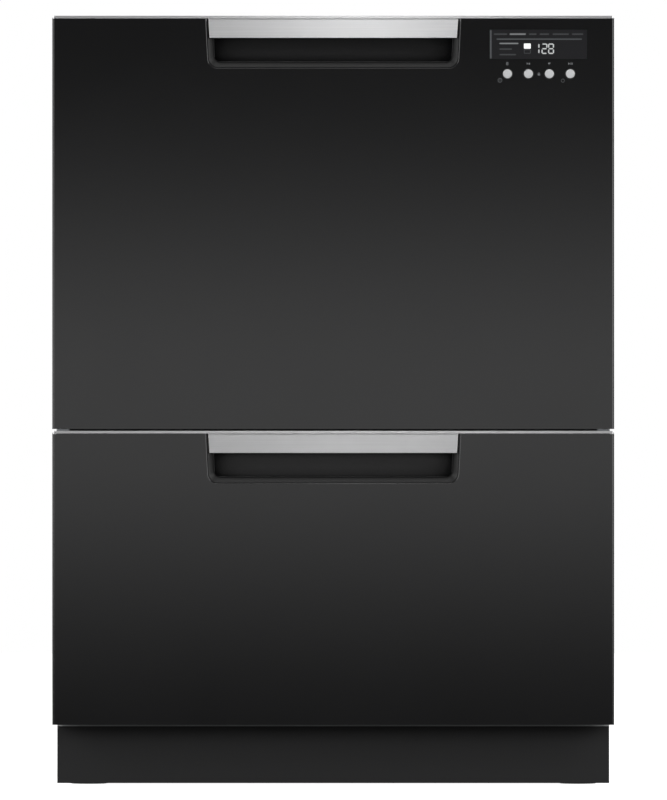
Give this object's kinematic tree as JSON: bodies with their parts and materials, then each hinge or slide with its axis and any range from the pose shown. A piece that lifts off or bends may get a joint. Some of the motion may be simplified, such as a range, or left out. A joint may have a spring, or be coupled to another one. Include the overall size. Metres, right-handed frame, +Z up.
{
  "type": "two-drawer dishwasher",
  "caption": "Built-in dishwasher with an upper and a lower drawer in a steel cabinet, each with a black front, a bar handle, a tub, racks and a lifting lid.",
  "frame": {"origin": "on the floor under the middle of the whole part", "axes": "+Z up, the drawer fronts face -Y, +X to the right of someone who faces them"},
  "size_m": [0.599, 0.573, 0.82],
  "materials": {
    "black_coated_steel": "semi-gloss black coating on sheet steel",
    "brushed_steel": "brushed along its length",
    "black_moulding": "fine matt moulding",
    "zinc_coated_steel": "dull zinc-coated sheet",
    "runner_steel": "bright zinc-plated steel",
    "tub_moulding": "satin light grey moulding",
    "grey_moulding": "satin mid grey moulding",
    "motor_housing": "matt dark grey housing",
    "coated_wire": "nylon-coated steel wire",
    "seal_rubber": "soft matt rubber",
    "tinted_window": "polished dark tinted window",
    "button_caps": "satin silver-coloured caps",
    "circuit_board": "green solder mask"
  },
  "bodies": {
    "cabinet": {"left_side_panel": "zinc_coated_steel", "right_side_panel": "zinc_coated_steel", "back_panel": "zinc_coated_steel", "top_panel": "zinc_coated_steel", "base_pan": "black_moulding", "mid_rail": "zinc_coated_steel", "kick_strip": "black_coated_steel", "fixed_runners": "runner_steel", "lid_actuators": "grey_moulding", "hose_connections": "black_moulding"},
    "front_left_foot": {"front_left_foot": "black_moulding"},
    "front_right_foot": {"front_right_foot": "black_moulding"},
    "rear_left_foot": {"rear_left_foot": "black_moulding"},
    "rear_right_foot": {"rear_right_foot": "black_moulding"},
    "upper_drawer": {"upper_front_skin": "black_coated_steel", "upper_handle_trim": "brushed_steel", "upper_handle_pocket": "black_moulding", "upper_front_carrier": "black_moulding", "upper_tub": "tub_moulding", "upper_inner_runners": "runner_steel", "upper_filter": "grey_moulding", "upper_pump_motor": "motor_housing", "upper_dish_rack": "coated_wire", "upper_cutlery_basket": "grey_moulding", "upper_dispenser": "grey_moulding", "display_window": "tinted_window", "control_board": "circuit_board"},
    "upper_middle_runners": {"upper_middle_runners": "runner_steel"},
    "upper_lid": {"upper_lid": "tub_moulding", "upper_lid_seal": "seal_rubber"},
    "upper_lid_pinions": {"upper_lid_pinions": "grey_moulding"},
    "upper_spray_arm": {"upper_spray_arm": "grey_moulding"},
    "upper_pump_rotor": {"upper_pump_rotor": "grey_moulding"},
    "upper_cup_shelf": {"upper_cup_shelf": "grey_moulding"},
    "upper_dispenser_door": {"upper_dispenser_door": "tub_moulding"},
    "upper_rinse_cap": {"upper_rinse_cap": "tub_moulding"},
    "lower_drawer": {"lower_front_skin": "black_coated_steel", "lower_handle_trim": "brushed_steel", "lower_handle_pocket": "black_moulding", "lower_front_carrier": "black_moulding", "lower_tub": "tub_moulding", "lower_inner_runners": "runner_steel", "lower_filter": "grey_moulding", "lower_pump_motor": "motor_housing", "lower_dish_rack": "coated_wire", "lower_cutlery_basket": "grey_moulding", "lower_dispenser": "grey_moulding"},
    "lower_middle_runners": {"lower_middle_runners": "runner_steel"},
    "lower_lid": {"lower_lid": "tub_moulding", "lower_lid_seal": "seal_rubber"},
    "lower_lid_pinions": {"lower_lid_pinions": "grey_moulding"},
    "lower_spray_arm": {"lower_spray_arm": "grey_moulding"},
    "lower_pump_rotor": {"lower_pump_rotor": "grey_moulding"},
    "lower_cup_shelf": {"lower_cup_shelf": "grey_moulding"},
    "lower_dispenser_door": {"lower_dispenser_door": "tub_moulding"},
    "lower_rinse_cap": {"lower_rinse_cap": "tub_moulding"},
    "button_1": {"button_1": "button_caps"},
    "button_2": {"button_2": "button_caps"},
    "button_3": {"button_3": "button_caps"},
    "button_4": {"button_4": "button_caps"}
  },
  "joints": [
    {"name": "front_left_foot_height", "type": "slide", "parent": "cabinet", "child": "front_left_foot", "axis": [0, 0, 1], "range_m": [-0.06, 0]},
    {"name": "front_right_foot_height", "type": "slide", "parent": "cabinet", "child": "front_right_foot", "axis": [0, 0, 1], "range_m": [-0.06, 0]},
    {"name": "rear_left_foot_height", "type": "slide", "parent": "cabinet", "child": "rear_left_foot", "axis": [0, 0, 1], "range_m": [-0.06, 0]},
    {"name": "rear_right_foot_height", "type": "slide", "parent": "cabinet", "child": "rear_right_foot", "axis": [0, 0, 1], "range_m": [-0.06, 0]},
    {"name": "upper_drawer_slide", "type": "slide", "parent": "cabinet", "child": "upper_drawer", "axis": [0, -1, 0], "range_m": [0, 0.46]},
    {"name": "upper_middle_runner_slide", "type": "slide", "parent": "cabinet", "child": "upper_middle_runners", "axis": [0, -1, 0], "range_m": [0, 0.23]},
    {"name": "upper_lid_lift", "type": "slide", "parent": "cabinet", "child": "upper_lid", "axis": [0, 0, 1], "range_m": [-0.018, 0]},
    {"name": "upper_lid_pinion_turn", "type": "hinge", "parent": "cabinet", "child": "upper_lid_pinions", "pos_m": [0, -0.014, 0.7853], "axis": [1, 0, 0], "range_deg": [-86, 0]},
    {"name": "upper_spray_arm_spin", "type": "hinge", "parent": "upper_drawer", "child": "upper_spray_arm", "pos_m": [0, -0.016, 0.528], "axis": [0, 0, 1], "continuous": true},
    {"name": "upper_pump_rotor_spin", "type": "hinge", "parent": "upper_drawer", "child": "upper_pump_rotor", "pos_m": [0, -0.016, 0.494], "axis": [0, 0, 1], "continuous": true},
    {"name": "upper_cup_shelf_fold", "type": "hinge", "parent": "upper_drawer", "child": "upper_cup_shelf", "pos_m": [-0.239, -0.026, 0.674], "axis": [0, -1, 0], "range_deg": [0, 85]},
    {"name": "upper_dispenser_door_hinge", "type": "hinge", "parent": "upper_drawer", "child": "upper_dispenser_door", "pos_m": [-0.021, -0.2234, 0.678], "axis": [-1, 0, 0], "range_deg": [0, 100]},
    {"name": "upper_rinse_cap_turn", "type": "hinge", "parent": "upper_drawer", "child": "upper_rinse_cap", "pos_m": [0.036, -0.226, 0.702], "axis": [0, 1, 0], "range_deg": [0, 90]},
    {"name": "lower_drawer_slide", "type": "slide", "parent": "cabinet", "child": "lower_drawer", "axis": [0, -1, 0], "range_m": [0, 0.46]},
    {"name": "lower_middle_runner_slide", "type": "slide", "parent": "cabinet", "child": "lower_middle_runners", "axis": [0, -1, 0], "range_m": [0, 0.23]},
    {"name": "lower_lid_lift", "type": "slide", "parent": "cabinet", "child": "lower_lid", "axis": [0, 0, 1], "range_m": [-0.018, 0]},
    {"name": "lower_lid_pinion_turn", "type": "hinge", "parent": "cabinet", "child": "lower_lid_pinions", "pos_m": [0, -0.014, 0.4053], "axis": [1, 0, 0], "range_deg": [-86, 0]},
    {"name": "lower_spray_arm_spin", "type": "hinge", "parent": "lower_drawer", "child": "lower_spray_arm", "pos_m": [0, -0.016, 0.148], "axis": [0, 0, 1], "continuous": true},
    {"name": "lower_pump_rotor_spin", "type": "hinge", "parent": "lower_drawer", "child": "lower_pump_rotor", "pos_m": [0, -0.016, 0.114], "axis": [0, 0, 1], "continuous": true},
    {"name": "lower_cup_shelf_fold", "type": "hinge", "parent": "lower_drawer", "child": "lower_cup_shelf", "pos_m": [-0.239, -0.026, 0.294], "axis": [0, -1, 0], "range_deg": [0, 85]},
    {"name": "lower_dispenser_door_hinge", "type": "hinge", "parent": "lower_drawer", "child": "lower_dispenser_door", "pos_m": [-0.021, -0.2234, 0.298], "axis": [-1, 0, 0], "range_deg": [0, 100]},
    {"name": "lower_rinse_cap_turn", "type": "hinge", "parent": "lower_drawer", "child": "lower_rinse_cap", "pos_m": [0.036, -0.226, 0.322], "axis": [0, 1, 0], "range_deg": [0, 90]},
    {"name": "button_1_press", "type": "slide", "parent": "upper_drawer", "child": "button_1", "axis": [0, 1, 0], "range_m": [0, 0.001], "stiffness_N_per_m": 800},
    {"name": "button_2_press", "type": "slide", "parent": "upper_drawer", "child": "button_2", "axis": [0, 1, 0], "range_m": [0, 0.001], "stiffness_N_per_m": 800},
    {"name": "button_3_press", "type": "slide", "parent": "upper_drawer", "child": "button_3", "axis": [0, 1, 0], "range_m": [0, 0.001], "stiffness_N_per_m": 800},
    {"name": "button_4_press", "type": "slide", "parent": "upper_drawer", "child": "button_4", "axis": [0, 1, 0], "range_m": [0, 0.001], "stiffness_N_per_m": 800}
  ],
  "couplings": [
    {"joint": "upper_middle_runner_slide", "follows": "upper_drawer_slide", "ratio": 0.5},
    {"joint": "upper_lid_pinion_turn", "follows": "upper_lid_lift", "rad_per_m": 83.333},
    {"joint": "lower_middle_runner_slide", "follows": "lower_drawer_slide", "ratio": 0.5},
    {"joint": "lower_lid_pinion_turn", "follows": "lower_lid_lift", "rad_per_m": 83.333}
  ]
}
